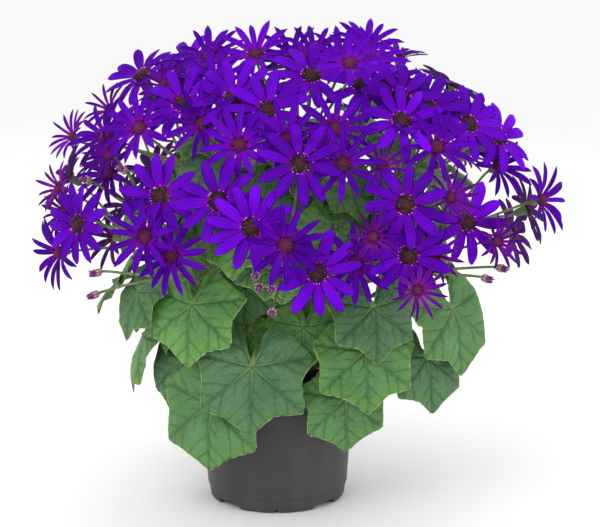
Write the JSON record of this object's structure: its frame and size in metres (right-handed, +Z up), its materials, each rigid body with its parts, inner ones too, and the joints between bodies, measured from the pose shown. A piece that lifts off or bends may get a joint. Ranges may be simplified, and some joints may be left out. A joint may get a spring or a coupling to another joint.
{
  "type": "potted florist cineraria",
  "caption": "Bushy florist cineraria in full violet bloom, with lobed green leaves, grown in a round grey nursery pot.",
  "frame": {"origin": "on the ground, under the middle of the whole plant's spread", "axes": "+Z up, -Y towards the side that the picture shows, +X to that viewer's right"},
  "size_m": [0.458, 0.4058, 0.4213],
  "materials": {
    "pot_plastic": "satin",
    "potting_soil": "matte",
    "stem_green": "satin",
    "leaf_green": "satin",
    "bloom_purple": "satin"
  },
  "bodies": {
    "root": {"corymb_01": "bloom_purple", "corymb_02": "bloom_purple", "corymb_03": "bloom_purple", "corymb_04": "bloom_purple", "corymb_05": "bloom_purple", "corymb_06": "bloom_purple", "corymb_07": "bloom_purple", "corymb_08": "bloom_purple", "corymb_09": "bloom_purple", "corymb_10": "bloom_purple", "corymb_11": "bloom_purple", "corymb_12": "bloom_purple", "corymb_13": "bloom_purple", "corymb_14": "bloom_purple", "corymb_15": "bloom_purple", "corymb_16": "bloom_purple", "corymb_17": "bloom_purple", "corymb_18": "bloom_purple", "corymb_19": "bloom_purple", "corymb_20": "bloom_purple", "corymb_21": "bloom_purple", "leaf_01": "leaf_green", "leaf_02": "leaf_green", "leaf_03": "leaf_green", "leaf_04": "leaf_green", "leaf_05": "leaf_green", "leaf_06": "leaf_green", "leaf_07": "leaf_green", "leaf_08": "leaf_green", "leaf_09": "leaf_green", "leaf_10": "leaf_green", "leaf_11": "leaf_green", "leaf_12": "leaf_green", "leaf_13": "leaf_green", "leaf_14": "leaf_green", "leaf_15": "leaf_green", "leaf_16": "leaf_green", "leaf_17": "leaf_green", "leaf_18": "leaf_green", "leaf_19": "leaf_green", "leaf_20": "leaf_green", "leaf_21": "leaf_green", "leaf_22": "leaf_green", "leaf_23": "leaf_green", "leaf_24": "leaf_green", "pot": "pot_plastic", "potting_soil": "potting_soil", "stem": "stem_green"}
  },
  "joints": []
}
